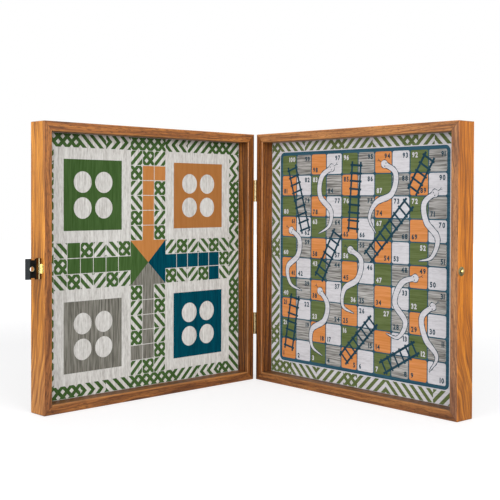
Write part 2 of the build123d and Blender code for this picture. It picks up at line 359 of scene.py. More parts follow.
def hardwood(name, axes, seed, rim_tone_and_light, outer_tone_and_light, wall_shade, banding, rings, runout=0.0):
    """Oiled reddish hardwood, sawn from a log beside the bar, so that its rings run along it."""
    wood = Finish(name)
    mix, noise, fade, times, minus = wood.mix, wood.noise, wood.fade, wood.times, wood.minus
    pick = random.Random(seed)
    place = wood.place(axes)
    along, depth, across = wood.parts(place)
    height = wood.parts(wood.place())[2]

    # The pith lies outside the bar and leans a little, and the rings wander about it.
    pith_depth = -pick.uniform(0.020, 0.050)
    pith_across = pick.uniform(0.030, 0.055)
    drift = times(along, pick.uniform(-0.04, 0.04))
    if runout:
        below = wood.math("MAXIMUM", minus(RUNOUT_HEIGHT, height), 0.0)
        drift = wood.times_plus(wood.math("POWER", below, 2.0), runout, drift)
    from_pith = minus(depth, wood.plus(drift, pith_depth))
    up_pith = minus(across, pith_across)
    wander = times(noise(place, (6.0, 14.0, 14.0), seed, detail=3.0), WANDER_REACH / rings)
    radius = wood.plus(wood.length(wood.join(from_pith, up_pith)), wander)

    broad = wood.join(times(radius, rings), times(along, 4.0), seed * 1.7)
    fine = wood.join(times(radius, FINE_LINES), times(along, 11.0), seed * 2.9)
    bands = noise(broad)
    lines = noise(fine, detail=3.0, roughness=0.65)
    fibre = noise(place, (28.0, 1500.0, 1500.0), seed, roughness=0.6)
    pores = noise(place, (170.0, 1500.0, 1500.0), seed + 1.0, detail=1.0)
    cloud = noise(place, (14.0, 60.0, 60.0), seed + 2.0)
    figure = 0.5
    for part, share in ((bands, banding), (lines, 0.9), (fibre, 0.5), (cloud, 0.2)):
        figure = wood.times_plus(minus(part, 0.5), share, figure)
    colour = wood.ramp(figure, (0.30, 0.47, 0.62, 0.82), WOOD_TONES)

    # A thin dark line closes some of the rings, and the pores are deeper on the rim.
    ring = wood.math("PINGPONG", times(radius, RING_LINES), 0.5)
    late = times(fade(ring, 0.13, 0.03), fade(cloud, 0.42, 0.56))
    colour = mix(times(late, 0.42), colour, LATE_TONE)
    outer = fade(across, *OUTER_FACE)
    pore_mask = fade(pores, 0.56, 0.64)
    pore_depth = wood.times_plus(outer, -0.45, 0.65)
    colour = mix(times(pore_mask, pore_depth), colour, PORE_TONE)

    # Each bar's tones on its rim and outer face are partly its own colour and partly painted light
    # and shade; its inner wall is painted darker or lighter for the light it gets, and its foot
    # gets painted shade.
    tint = mix(outer, (*rim_tone_and_light, 1.0), (*outer_tone_and_light, 1.0))
    colour = mix(1.0, colour, tint, "MULTIPLY")
    # Painted shade towards the foot of the box.
    shaded_foot = mix(1.0, colour, mix(outer, FOOT_SHADE_RIM, FOOT_SHADE_OUTER), "MULTIPLY")
    colour = mix(fade(height, *ABOVE_FLOOR), colour, shaded_foot)
    # Painted shade on the inner wall: a factor for each bar that stands for the light the wall
    # gets.
    inner = minus(wall, across)
    on_wall = times(fade(inner, *INNER_WALL), fade(depth, *BEHIND_RIM))
    colour = wood.scaled(colour, wood.times_plus(on_wall, wall_shade - 1.0, 1.0))

    # A painted highlight along the inner edge of the rim, as if the edge were rounded and caught
    # the light.
    from_edge = wood.plus(wood.math("ABSOLUTE", inner), wood.math("ABSOLUTE", depth))
    colour = mix(times(fade(from_edge, *EDGE_HIGHLIGHT), 0.30), colour, RIM_GLEAM)

    # Painted shade where the board meets the wall.
    from_board = wood.math("ABSOLUTE", minus(depth, board_y - rim_y))
    corner_shade = times(fade(from_board, *SHADE_FROM_BOARD), fade(inner, *SHADE_FROM_WALL))
    colour = mix(times(corner_shade, 0.65), colour, CORNER_SHADE_TONE)

    # A fine dark line where two bars meet in a mitre.
    from_end = wood.math("MINIMUM", along, minus(2 * half_width, along))
    seam = fade(wood.math("ABSOLUTE", minus(from_end, across)), *MITRE_SEAM)
    colour = mix(times(seam, 0.45), colour, SEAM_TONE)

    wood.set(Base_Color=colour, Roughness=wood.between(fibre, 0.34, 0.54), Specular_IOR_Level=0.42)
    wood.bump(minus(fibre, times(pore_mask, 0.6)), 0.06 * MM)
    return wood.material


def with_grain(grain, along, across):
    """Waves in a metre on a board whose grain runs "up" or "right"."""
    return (across, along, 1.0) if grain == "up" else (along, across, 1.0)


def veneer(name, grain, axes=None, bend=3.0, patch=0):
    """A finish with fine wandering streaks and a slow figure, along a grain that bends by a few
    millimetres; where there is a patch size, each square patch is another piece of wood."""
    look = Finish(name)
    place = look.place(axes)
    if patch:
        u, v, _ = look.parts(place)
        columns = look.math("FLOOR", look.math("DIVIDE", u, patch * MM))
        rows = look.math("FLOOR", look.math("DIVIDE", v, patch * MM))
        shift = look.times_plus(columns, 0.37, look.times(rows, 0.83))
        place = look.join(look.plus(u, shift), look.times_plus(rows, 0.21, v))
    sway = look.noise(place, (16.0, 16.0, 1.0), 4.0, detail=1.0)
    sway = look.times(look.minus(sway, 0.5), 2 * bend * MM)
    bent = look.add("VectorMath", {0: place, 1: look.join(sway, sway)}).outputs[0]
    streak = look.noise(bent, with_grain(grain, 40.0, 560.0), 1.0, roughness=0.65)
    figure = look.noise(bent, with_grain(grain, 8.0, 260.0), 2.0, roughness=0.6, distortion=0.3)
    return look, place, streak, figure


def matt_print(look, colour, streak):
    look.set(Base_Color=colour, Roughness=0.5, Specular_IOR_Level=0.03)
    look.bump(streak, 0.02 * MM)
    return look.material


def pale_veneer(name, grain, tints, axes=None):
    """Whitewashed veneer with open pores, the ground of the printed boards."""
    look, place, streak, figure = veneer(name, grain, axes)
    pores = look.noise(place, with_grain(grain, 150.0, 620.0), 6.0, detail=3.0, roughness=0.7)
    mixed = look.plus(look.times(streak, 0.4), look.times(figure, 0.2))
    mixed = look.times_plus(pores, 0.4, mixed)
    return matt_print(look, look.ramp(mixed, (0.38, 0.50, 0.62), tints), streak)


def ink(name, grain, full, thin, axes=None, home_tone=1.0):
    """Printing ink on veneer: the grain shows through as darker and thinner streaks."""
    look, place, streak, figure = veneer(name, grain, axes)
    mixed = look.plus(look.times(streak, 0.6), look.times(figure, 0.4))
    colour = look.ramp(mixed, (0.36, 0.64), (thin, full))
    if home_tone != 1.0:
        u, v, _ = look.parts(place)
        inwards = look.math("MINIMUM", look.math("ABSOLUTE", u), look.math("ABSOLUTE", v))
        home = look.fade(inwards, *HOME_EDGE)
        colour = look.scaled(colour, look.times_plus(home, home_tone - 1.0, 1.0))
    return matt_print(look, colour, streak)


def weathered_grey(name, grain, tints, patch, fineness):
    """Print that imitates weathered grey oak."""
    look, place, streak, figure = veneer(name, grain, bend=4.5, patch=patch)
    scales = with_grain(grain, 30.0, fineness)
    cracks = look.noise(place, scales, 9.0, roughness=0.6, distortion=0.4)
    mixed = look.plus(look.times(streak, 0.25), look.times(figure, 0.1))
    mixed = look.times_plus(cracks, 0.65, mixed)
    return matt_print(look, look.ramp(mixed, (0.40, 0.49, 0.60), tints), streak)


def metal(name, bright, tarnish, roughness, seed, amount=0.5, wear_and_light=None, *tones):
    """Aged metal: brushed sheet with cloudy tarnish, and the tones that the wear function puts on:
    bare metal, and on the latch painted highlights, reflection and sheen.
    """
    sheet = Finish(name)
    place = sheet.place()
    cloud = sheet.noise(place, (260.0, 260.0, 260.0), seed, detail=4.0, roughness=0.65)
    brushed = sheet.noise(place, (900.0, 900.0, 9000.0), seed, detail=1.0)
    tarnished = sheet.fade(cloud, 0.62 - amount * 0.3, 0.72)
    colour = sheet.mix(tarnished, paint(*bright), paint(*tarnish))
    if wear_and_light:
        colour = wear_and_light(sheet, colour, place, *[paint(*tone) for tone in tones])
    sheet.set(Base_Color=colour, Metallic=1.0)
    sheet.set(Roughness=sheet.between(cloud, roughness - 0.1, roughness + 0.12))
    sheet.bump(brushed, 0.01 * MM)
    return sheet.material


# ======== printing on the boards, in millimetres
FILM = 0.03  # height of one printed layer
CELL = 19.0  # ludo square
BAND_PITCH = CELL * 2 / 3  # one green and one pale stripe, measured along the border

# The printed sheets of two boards were glued a little off the middle.
LUDO = {"face": ludo_face, "body": "ludo_tray", "slot": "printed_veneer", "shift": (-2.1, -0.6)}
SNAKES = {
    "face": snakes_face, "body": "snakes_tray", "slot": "printed_veneer", "shift": (1.35, 1.9)
}
CHESS = {"face": chess_face, "body": "ludo_tray", "slot": "dark_veneer"}
BACKGAMMON = {"face": backgammon_face, "body": "snakes_tray", "slot": "dark_veneer"}


class Print:
    """One ink on one board: flat areas in millimetres, right and up from the board's middle."""

    def __init__(self, board, material, name=None):
        self.board = board
        self.material = material
        self.name = name or f"{material.name}_print"
        self.corners = []
        self.areas = []

    def area(self, outline, layer=1):
        """A flat area with its face towards the viewer; a shifted sheet is cut at the walls."""
        if "shift" in self.board:
            shift_u, shift_v = self.board["shift"]
            moved = [(u + shift_u, v + shift_v) for u, v in outline]
            outline = clipped(moved, (-sheet_half, -sheet_half, sheet_half, sheet_half))
        if len(outline) < 3:
            return
        pairs = zip(outline, outline[1:] + outline[:1])
        turn = sum(u0 * v1 - u1 * v0 for (u0, v0), (u1, v1) in pairs)
        ordered = outline if turn > 0 else outline[::-1]
        start = len(self.corners)
        self.corners += [(u * MM, v * MM, layer * FILM * MM) for u, v in ordered]
        self.areas.append(tuple(range(start, len(self.corners))))

    def box(self, *sides):
        self.area(rectangle(*sides))

    def areas_of(self, outlines, layer=1):
        for outline in outlines:
            if len(outline) > 2:
                self.area(outline, layer)

    def finish(self):
        mesh = bpy.data.meshes.new(self.name)
        mesh.from_pydata(self.corners, [], self.areas)
        mesh.materials.append(self.material)
        piece = linked(self.name, mesh)
        piece.matrix_world = self.board["face"]
        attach(piece, self.board["body"])


def clipped(outline, box):
    """The part of a convex outline that lies in an upright box."""
    left, bottom, right, top = box
    for axis, limit, keep in ((0, left, 1), (0, right, -1), (1, bottom, 1), (1, top, -1)):
        kept = []
        for index, point in enumerate(outline):
            before = outline[index - 1]
            inside = keep * (point[axis] - limit) >= 0
            if inside != (keep * (before[axis] - limit) >= 0):
                share = (limit - before[axis]) / (point[axis] - before[axis])
                kept.append(tuple(a + share * (b - a) for a, b in zip(before, point)))
            if inside:
                kept.append(point)
        outline = kept
    return outline


def rectangle(left, bottom, right, top):
    return [(left, bottom), (right, bottom), (right, top), (left, top)]


def circle(u, v, radius, steps=48):
    angles = [2 * pi * step / steps for step in range(steps)]
    return [(u + radius * cos(a), v + radius * sin(a)) for a in angles]


def rounded(half, radius, steps=6, middle=(0.0, 0.0)):
    """A square with round corners."""
    left, right, bottom, top = (part + side for part in middle for side in (-half, half))
    outline = []
    for quarter, (u, v) in enumerate([(right, top), (left, top), (left, bottom), (right, bottom)]):
        u += -radius if u == right else radius
        v += -radius if v == top else radius
        for step in range(steps + 1):
            angle = pi / 2 * (quarter + step / steps)
            outline.append((u + radius * cos(angle), v + radius * sin(angle)))
    return outline


def stripes(box, slope, level):
    """Stripes at 45 degrees: u + slope * (v - level) is in the first half of the pitch there."""
    left, bottom, right, top = box
    values = [u + slope * v - slope * level for u in (left, right) for v in (bottom, top)]
    first = floor(min(values) / BAND_PITCH)
    last = floor(max(values) / BAND_PITCH)
    for index in range(first, last + 1):
        low = index * BAND_PITCH + slope * level
        high = low + BAND_PITCH / 2
        sides = [(low, bottom), (high, bottom), (high, top), (low, top)]
        yield clipped([(value - slope * v, v) for value, v in sides], box)


def lattice_gaps(box):
    """The pale diamonds that are left where stripes cross both ways."""
    left, bottom, right, top = box
    reach = BAND_PITCH / 4
    first = floor(min(left, bottom) * 2 / BAND_PITCH) - 1
    last = ceil(max(right, top) * 2 / BAND_PITCH) + 1
    for column in range(first, last + 1):
        for row in range(first + (column - first) % 2, last + 1, 2):
            u = column * BAND_PITCH / 2 + reach
            v = row * BAND_PITCH / 2 - reach
            yield clipped([(u - reach, v), (u, v - reach), (u + reach, v), (u, v + reach)], box)


def patterned(box, kind, green, pale):
    """One box of woven pattern: plain stripes, a chevron, or a lattice with pale diamonds."""
    left, bottom, right, top = box
    middle = (bottom + top) / 2
    if kind == "lattice":
        green.box(*box)
        pale.areas_of(lattice_gaps(box), layer=2)
    elif kind in ("fall", "rise"):
        green.areas_of(stripes(box, 1 if kind == "fall" else -1, BAND_PITCH / 4))
    else:
        slope = 1 if kind == "right" else -1
        green.areas_of(stripes((left, middle, right, top), slope, middle))
        green.areas_of(stripes((left, bottom, right, middle), -slope, middle))


def turned(points, quarters):
    """Points turned clockwise about the board's middle."""
    for _ in range(quarters % 4):
        points = [(v, -u) for u, v in points]
    return points


def turned_box(box, quarters):
    left, bottom, right, top = box
    (u0, v0), (u1, v1) = turned([(left, bottom), (right, top)], quarters)
    return (min(u0, u1), min(v0, v1), max(u0, u1), max(v0, v1))


def print_border(inner, kinds, side_step, corner_kinds, green, pale):
    """A band of boxes round a board, where each side starts side_step kinds further on."""
    outer = sheet_half + max(abs(shift) for shift in pale.board["shift"])
    pitch = 2 * inner / len(kinds)
    for side in range(4):
        corner = turned_box((inner, inner, outer, outer), side)
        patterned(corner, corner_kinds[side % 2], green, pale)
        for index in range(len(kinds)):
            start = -inner + index * pitch
            box = turned_box((start, inner, start + pitch, outer), side)
            patterned(box, kinds[(index + side_step * side) % len(kinds)], green, pale)


# -------- ludo
LANE_HALF = 1.5 * CELL
LANE_CELLS = 6
FIELD_HALF = LANE_HALF + LANE_CELLS * CELL
HAIRLINE = 0.9  # pale line between ludo squares
HOME_SQUARE = 86.0
HOME_SPOT = 26.0
SPOT_PITCH = 31.3
HOME_EDGE = (30.0 * MM, 34.0 * MM)  # past the lanes, where an ink takes its home tone

TEAL = ((0, 54, 68), (0, 70, 86))
LUDO_GREY = ((84, 82, 75), (110, 108, 100), (138, 136, 128))
LUDO_PALE = ((211, 210, 206), (195, 193, 189), (168, 165, 160))

# Kinds of pattern along one side of the border, and along the side lanes.
LUDO_BORDER = (
    "lattice lattice fall fall right right lattice "
    "lattice lattice left left rise rise lattice lattice"
).split()
LUDO_LANES = "fall rise lattice rise fall lattice".split()


def print_ludo():
    green = Print(LUDO, ink("ludo_green", "up", (53, 80, 38), (70, 97, 53), home_tone=0.92))
    orange = Print(LUDO, ink("ludo_orange", "up", (174, 114, 61), (184, 124, 70), home_tone=0.77))
    teal = Print(LUDO, ink("ludo_teal", "up", *TEAL))
    grey = Print(LUDO, weathered_grey("ludo_grey", "up", LUDO_GREY, 0, 1150.0))
    pale = Print(LUDO, pale_veneer("ludo_pale", "up", LUDO_PALE))
    print_border(FIELD_HALF, LUDO_BORDER, 4, ("rise", "fall"), green, pale)

    # Four arms of three lanes, clockwise from the top, each with an arrow into the middle.
    gap = HAIRLINE / 2
    for quarter, home in enumerate((orange, teal, grey, green)):
        for lane in (-1, 0, 1):
            for step in range(LANE_CELLS):
                left, low = (lane - 0.5) * CELL, LANE_HALF + step * CELL
                box = turned_box((left, low, left + CELL, low + CELL), quarter)
                box = (box[0] + gap, box[1] + gap, box[2] - gap, box[3] - gap)
                if lane == 0 and 0 < step < 5 or lane == 1 and step == 4:
                    home.box(*box)
                elif lane != 0 or step == 5:
                    kind = LUDO_LANES[(step + 2 * lane + 3 * quarter) % len(LUDO_LANES)]
                    patterned(box, kind, green, pale)
        tail = CELL / 2 - gap
        top = LANE_HALF + CELL - gap
        arrow = [(-tail, top), (-tail, LANE_HALF), (-LANE_HALF, LANE_HALF), (0, 0)]
        arrow += [(LANE_HALF, LANE_HALF), (tail, LANE_HALF), (tail, top)]
        home.area(turned(arrow, quarter))

    # Home squares with four pale spots each.
    middle = (LANE_HALF + FIELD_HALF) / 2
    half = HOME_SQUARE / 2
    for home, side_u, side_v in ((green, -1, 1), (orange, 1, 1), (grey, -1, -1), (teal, 1, -1)):
        u, v = side_u * middle, side_v * middle
        home.box(u - half, v - half, u + half, v + half)
        for du in (-0.5, 0.5):
            for dv in (-0.5, 0.5):
                spot = circle(u + du * SPOT_PITCH, v + dv * SPOT_PITCH, HOME_SPOT / 2)
                pale.area(spot, layer=2)

    for part in (green, orange, teal, grey, pale):
        part.finish()


# -------- snakes and ladders
SQUARE = 27.75  # pitch of the hundred squares
GRID_LINE = 1.5
FRAME_LINE = 3.75
SQUARE_ROUND = 2.5
FRAME_ROUND = 7.0
PALE_GAP = 1.2  # pale line between the frame and the border

DIGIT_HEIGHT = 6.5
DIGIT_NARROWING = 0.90
DIGIT_BOLDNESS = 0.042  # how far strokes grow, with the font's size as the unit
DIGIT_GAP = 0.16  # with the digits' height as the unit
DIGIT_MARGIN = 3.2  # from the edge of a square
CORNER_SPOT = 7.0  # the middle of a number, from both edges of its square
FREE_ROOM = 11.0  # what a number needs round it, clear of everything drawn

LADDER_WIDTH = 14.5
LADDER_MARKS = 40  # points along a ladder that numbers keep clear of
RAIL = 3.0
RAIL_OVERHANG = 0.45  # beyond the last rung, as a share of the pitch
RUNG = 2.6
RUNG_PITCH = 10.5

SNAKE_WIDTH = 7.2
SNAKE_LINE = 0.95
SCALE_DEPTH = 0.3  # waves along the outline of a snake
HEAD = 0.075  # its length, as a share of the snake
HEAD_REACH = 0.52  # half the head's oval, as a share of the head
HEAD_WIDTH = 0.66  # half its width, in body widths
NECK = 0.78  # its width, in body widths
NECK_SWELL = 1.6
TAIL = 0.45  # its length, as a share of the snake
TAIL_CURVE = 0.75
TAIL_TIP = 0.02
TONGUE_LENGTH = 4.5
TONGUE_WIDTH = 0.8
FORK_LENGTH = 2.2
FORK_SPREAD = 1.6
FORK_WIDTH = 0.7
BROW = 3  # the point of the path between the eyes
EYE_OFFSET = 2.0
EYE_RADIUS = 0.8

# Printed layers, from the board up.
SQUARES, NUMBERS, RAILS, RUNGS, OUTLINES, BODIES, EYES = range(2, 9)

SNAKES_GREY = ((100, 98, 95), (140, 138, 135), (174, 172, 169))
SNAKES_PALE = ((205, 203, 207), (197, 195, 199), (182, 180, 184))

SNAKES_BORDER = "fall fall rise rise lattice rise rise fall fall lattice rise fall".split()

# Foot and top of each ladder, in tenths of a square from the board's lower left corner.
LADDERS = [
    ((16, 64), (7, 93)),
    ((47, 65), (49, 94)),
    ((82, 83), (90, 96)),
    ((57, 53), (79, 76)),
    ((26, 42), (37, 62)),
    ((5, 6), (9, 30)),
    ((42, 5), (59, 23)),
    ((66, 4), (83, 14)),
]

# Points along each snake from its head to its tail, in the same way.
SNAKE_PATHS = [
    [(35, 94), (27, 89), (26, 80), (33, 73), (32, 66), (25, 62)],
    [(64, 95), (72, 90), (70, 81), (61, 77), (57, 70), (61, 63)],
    [(95, 82), (88, 77), (89, 69), (95, 62), (92, 54), (85, 52)],
    [(5, 64), (12, 59), (11, 51), (4, 45), (6, 37), (14, 34)],
    [(44, 56), (52, 51), (50, 42), (42, 37), (41, 29), (48, 26)],
    [(85, 45), (76, 42), (72, 33), (78, 25), (74, 18), (67, 19)],
    [(25, 36), (31, 29), (29, 21), (21, 16), (21, 8), (28, 4)],
    [(94, 34), (87, 28), (89, 19), (95, 12), (91, 5)],
]


def board_point(u, v):
    """A point given in tenths of a square from the board's lower left corner."""
    return Vector(((u / 10 - 5) * SQUARE, (v / 10 - 5) * SQUARE))


def digit_shapes():
    """Corners, faces and width of each digit, with its height as the unit."""
    shapes = {}
    for digit in "0123456789":
        curve = bpy.data.curves.new("digit", "FONT")
        curve.body = digit
        curve.resolution_u = 3
        curve.offset = DIGIT_BOLDNESS
        text = linked("digit", curve)
        bpy.context.view_layer.update()
        mesh = bpy.data.meshes.new_from_object(text)
        corners = [Vector(vertex.co[:2]) for vertex in mesh.vertices]
        faces = [tuple(face.vertices) for face in mesh.polygons]
        low, high = (
            Vector((end(c.x for c in corners), end(c.y for c in corners))) for end in (min, max)
        )
        height = high.y - low.y
        shapes[digit] = ([(c - low) / height for c in corners], faces, (high.x - low.x) / height)
        bpy.data.objects.remove(text)
        bpy.data.curves.remove(curve)
        bpy.data.meshes.remove(mesh)
    return shapes


def write_number(target, number, shapes, middle, side_u, side_v):
    """A number in one corner of its square, set in from the grid lines."""
    digits = [shapes[digit] for digit in str(number)]
    width = sum(shape[2] for shape in digits) * DIGIT_NARROWING + DIGIT_GAP * (len(digits) - 1)
    reach = SQUARE / 2 - DIGIT_MARGIN
    left = middle.x + (reach - width * DIGIT_HEIGHT if side_u > 0 else -reach)
    bottom = middle.y + (reach - DIGIT_HEIGHT if side_v > 0 else -reach)
    for corners, faces, digit_width in digits:
        across = [left + corner.x * DIGIT_NARROWING * DIGIT_HEIGHT for corner in corners]
        up = [bottom + corner.y * DIGIT_HEIGHT for corner in corners]
        for face in faces:
            target.area([(across[index], up[index]) for index in face], NUMBERS)
        left += (digit_width * DIGIT_NARROWING + DIGIT_GAP) * DIGIT_HEIGHT


def bar_outline(start, end, width):
    """A straight bar between two points."""
    side = (end - start).normalized().orthogonal() * width / 2
    return [tuple(start + side), tuple(start - side), tuple(end - side), tuple(end + side)]


def draw_ladder(target, foot, top):
    start, end = board_point(*foot), board_point(*top)
    ahead = (end - start).normalized()
    side = ahead.orthogonal()
    length = (end - start).length
    overhang = ahead * RUNG_PITCH * RAIL_OVERHANG
    for sign in (-1, 1):
        offset = side * sign * LADDER_WIDTH / 2
        rail = bar_outline(start + offset - overhang, end + offset + overhang, RAIL)
        target.area(rail, RAILS)
    count = round(length / RUNG_PITCH)
    reach = side * (LADDER_WIDTH / 2 + RAIL)
    for index in range(count + 1):
        middle = start + ahead * length * index / count
        target.area(bar_outline(middle - reach, middle + reach, RUNG), RUNGS)


def smooth_path(marks, steps=12):
    """A flowing curve through points given in tenths of a square."""
    points = [board_point(*mark) for mark in marks]
    points = [2 * points[0] - points[1]] + points + [2 * points[-1] - points[-2]]
    path = [points[1]]
    for p0, p1, p2, p3 in zip(points, points[1:], points[2:], points[3:]):
        for step in range(1, steps + 1):
            t = step / steps
            bend = (2 * p0 - 5 * p1 + 4 * p2 - p3) * t + (3 * p1 - p0 - 3 * p2 + p3) * t * t
            path.append(p1 + ((p2 - p0) + bend) * t / 2)
    return path


def snake_width(share):
    """Half the body's width along the snake: an oval head, a neck and a long taper."""
    if share < HEAD:
        off_middle = (share - HEAD * 0.5) / (HEAD * HEAD_REACH)
        return SNAKE_WIDTH * HEAD_WIDTH * sqrt(max(0.0, 1 - off_middle ** 2))
    swell = min(1.0, NECK + NECK_SWELL * (share - HEAD))
    return SNAKE_WIDTH / 2 * swell * min(1.0, (1 - share) / TAIL) ** TAIL_CURVE


def ribbon(target, points, half_widths, layer):
    """A flat band along points, one quad between each pair."""
    edges = []
    for index, point in enumerate(points):
        ahead = points[min(index + 1, len(points) - 1)] - points[max(index - 1, 0)]
        side = ahead.normalized().orthogonal() * max(half_widths[index], TAIL_TIP)
        edges.append((tuple(point - side), tuple(point + side)))
    for (low, high), (next_low, next_high) in zip(edges, edges[1:]):
        target.area([low, next_low, next_high, high], layer)


def draw_snake(line, body, marks):
    points = smooth_path(marks)
    last = len(points) - 1
    widths = [snake_width(index / last) for index in range(last + 1)]
    scales = [SCALE_DEPTH * sin(index * pi / 2) for index in range(last + 1)]
    outline = [width + SNAKE_LINE + depth for width, depth in zip(widths, scales)]
    ribbon(line, points, outline, OUTLINES)
    ribbon(body, points, widths, BODIES)

    nose, brow = points[0], points[BROW]
    ahead = (nose - brow).normalized()
    side = ahead.orthogonal()
    fork = nose + ahead * TONGUE_LENGTH
    line.area(bar_outline(nose - ahead, fork, TONGUE_WIDTH), OUTLINES)
    for sign in (-1, 1):
        tip = fork + ahead * FORK_LENGTH + side * sign * FORK_SPREAD
        line.area(bar_outline(fork, tip, FORK_WIDTH), OUTLINES)
        eye = brow + side * sign * EYE_OFFSET
        line.area(circle(eye.x, eye.y, EYE_RADIUS, 12), EYES)


def free_corner(middle, busy):
    """The corner of a square that is furthest from ladders and snakes, lower left first."""
    def room(corner):
        spot = middle + Vector(corner) * (SQUARE / 2 - CORNER_SPOT)
        return min(FREE_ROOM, *((spot - point).length for point in busy))
    return max(((-1, -1), (1, 1), (-1, 1), (1, -1)), key=room)


def busy_points():
    """Points along every ladder and snake."""
    points = [point for marks in SNAKE_PATHS for point in smooth_path(marks)]
    for foot, top in LADDERS:
        start, end = board_point(*foot), board_point(*top)
        side = (end - start).normalized().orthogonal() * LADDER_WIDTH / 2
        for step in range(LADDER_MARKS):
            middle = start.lerp(end, step / (LADDER_MARKS - 1))
            points += [middle - side, middle, middle + side]
    return points


def print_snakes():
    green = Print(SNAKES, ink("snakes_green", "right", (79, 92, 50), (101, 113, 73)))
    orange = Print(SNAKES, ink("snakes_orange", "right", (190, 120, 62), (207, 138, 86)))
    grey = Print(SNAKES, weathered_grey("snakes_grey", "right", SNAKES_GREY, SQUARE, 820.0))
    pale = Print(SNAKES, pale_veneer("snakes_pale", "right", SNAKES_PALE))
    blue = Print(SNAKES, ink("snakes_blue", "right", (38, 70, 86), (54, 90, 106)))
    line_ink = ink("snakes_lines", "right", (26, 52, 66), (38, 68, 81))
    lines = Print(SNAKES, line_ink, "snakes_drawn_print")

    # A dark field with a hundred squares, numbered to and fro from the bottom left.
    field = 5 * SQUARE + FRAME_LINE
    blue.area(rounded(field, FRAME_ROUND, 12))
    shapes = digit_shapes()
    busy = busy_points()
    cycles = ((orange, pale, green, grey), (green, grey, orange, pale))
    for number in range(1, 101):
        row, step = divmod(number - 1, 10)
        column = step if row % 2 == 0 else 9 - step
        middle = board_point(10 * column + 5, 10 * row + 5)
        cell = cycles[row % 2][column % 4]
        half = SQUARE / 2 - GRID_LINE / 2
        cell.area(rounded(half, SQUARE_ROUND, middle=middle), SQUARES)
        number_ink = pale if cell is green else lines
        write_number(number_ink, number, shapes, middle, *free_corner(middle, busy))

    for ladder in LADDERS:
        draw_ladder(lines, *ladder)
    for marks in SNAKE_PATHS:
        draw_snake(lines, pale, marks)
    print_border(field + PALE_GAP, SNAKES_BORDER, 5, ("lattice", "lattice"), green, pale)
    for part in (green, orange, grey, pale, blue, lines):
        part.finish()


# -------- chess and backgammon
CHESS_SQUARE = 34.0
CHESS_LINE = 1.6
CHESS_MARGIN = 7.0  # from the squares to the outer line
POINT_WIDTH = 22.0
POINT_HEIGHT = 122.0
POINT_GAP = 0.6  # on each side of a point
BAR_WIDTH = 22.0
BAR_LINE = 1.2
BOARD_LINE = 2.0

MAPLE = ((206, 170, 122), (224, 192, 146))
WALNUT = ((84, 52, 34), (112, 72, 48))


def outline_frame(target, half, width):
    """A square line of the given width, outside the given half size."""
    outer = half + width
    target.box(-outer, half, outer, outer)
    target.box(-outer, -outer, outer, -half)
    target.box(-outer, -half, -half, half)
    target.box(half, -half, outer, half)


def print_chess():
    light = Print(CHESS, ink("chess_maple", "up", *MAPLE), "chess_light_squares")
    for row in range(8):
        for column in range((row + 1) % 2, 8, 2):
            u, v = (column - 4) * CHESS_SQUARE, (row - 4) * CHESS_SQUARE
            light.box(u, v, u + CHESS_SQUARE, v + CHESS_SQUARE)
    field = 4 * CHESS_SQUARE
    outline_frame(light, field, CHESS_LINE)
    outline_frame(light, field + CHESS_MARGIN, CHESS_LINE / 2)
    light.finish()


def print_backgammon():
    maple, teal = ink("backgammon_maple", "up", *MAPLE), ink("backgammon_teal", "up", *TEAL)
    light = Print(BACKGAMMON, maple, "backgammon_light_points")
    dark = Print(BACKGAMMON, teal, "backgammon_teal_points")
    edge = 6 * POINT_WIDTH + BAR_WIDTH / 2
    for column in range(12):
        left = column * POINT_WIDTH - edge + (BAR_WIDTH if column > 5 else 0)
        for sign in (-1, 1):
            target = light if (column + (sign > 0)) % 2 else dark
            base = -sign * edge
            tip = (left + POINT_WIDTH / 2, base + sign * POINT_HEIGHT)
            target.area([(left + POINT_GAP, base), (left + POINT_WIDTH - POINT_GAP, base), tip])
    outline_frame(light, edge, BOARD_LINE)
    for side in (-1, 1):
        middle = side * BAR_WIDTH / 2
        light.box(middle - BAR_LINE / 2, -edge, middle + BAR_LINE / 2, edge)
    light.finish()
    dark.finish()


# ======== finishes for the CAD pieces
# Each bar comes from another plank: its tints on the rim and on the outer face against the wood's
# own colours, which also hold painted light and shade (lighter outer faces, painted shade on the
# hinge stiles by the spine, a painted pale sheen on the rims of the snakes tray), the painted light
# and shade of its inner wall against its rim, how strongly its growth rings show, how many there
# are in a metre, and how fast its grain runs out towards the foot.
BARS = {
    "ludo_bottom_rail": ((1.03, 1.04, 0.90), (1.15, 1.12, 0.68), 0.8, 0.9, 260.0),
    "ludo_top_rail": ((0.95, 0.96, 0.96), (1.30, 1.26, 0.74), 1.0, 0.7, 260.0),
    "ludo_hinge_stile": ((0.68, 0.59, 0.35), (0.96, 0.88, 0.52), 0.8, 2.0, 900.0),
    "ludo_latch_stile": ((0.91, 0.91, 1.00), (1.48, 1.57, 0.92), 1.0, 0.45, 260.0, 1.2),
    "snakes_bottom_rail": ((0.96, 1.02, 1.06), (1.15, 1.08, 0.58), 0.8, 0.9, 260.0),
    "snakes_top_rail": ((1.09, 1.29, 1.85), (1.30, 1.22, 0.66), 1.0, 0.6, 260.0),
    "snakes_hinge_stile": ((0.53, 0.44, 0.27), (0.98, 0.86, 0.46), 1.4, 2.0, 900.0),
    "snakes_stud_stile": ((1.04, 1.30, 2.30), (1.32, 1.14, 0.28), 1.0, 0.5, 260.0, 1.2),
}
FIRST_SEED = 3


def coat(piece, material):
    piece.data.materials.clear()
    piece.data.materials.append(material)


def dress(node, material):
    coat(frame["nodes"][node], material)


def dress_frames():
    for seed, node in enumerate(BARS, FIRST_SEED):
        tray, side, _ = node.split("_")
        axes = bar_axes(tray, "far" if side in ("latch", "stud") else side)
        dress(node, hardwood(node, axes, seed, *BARS[node]))


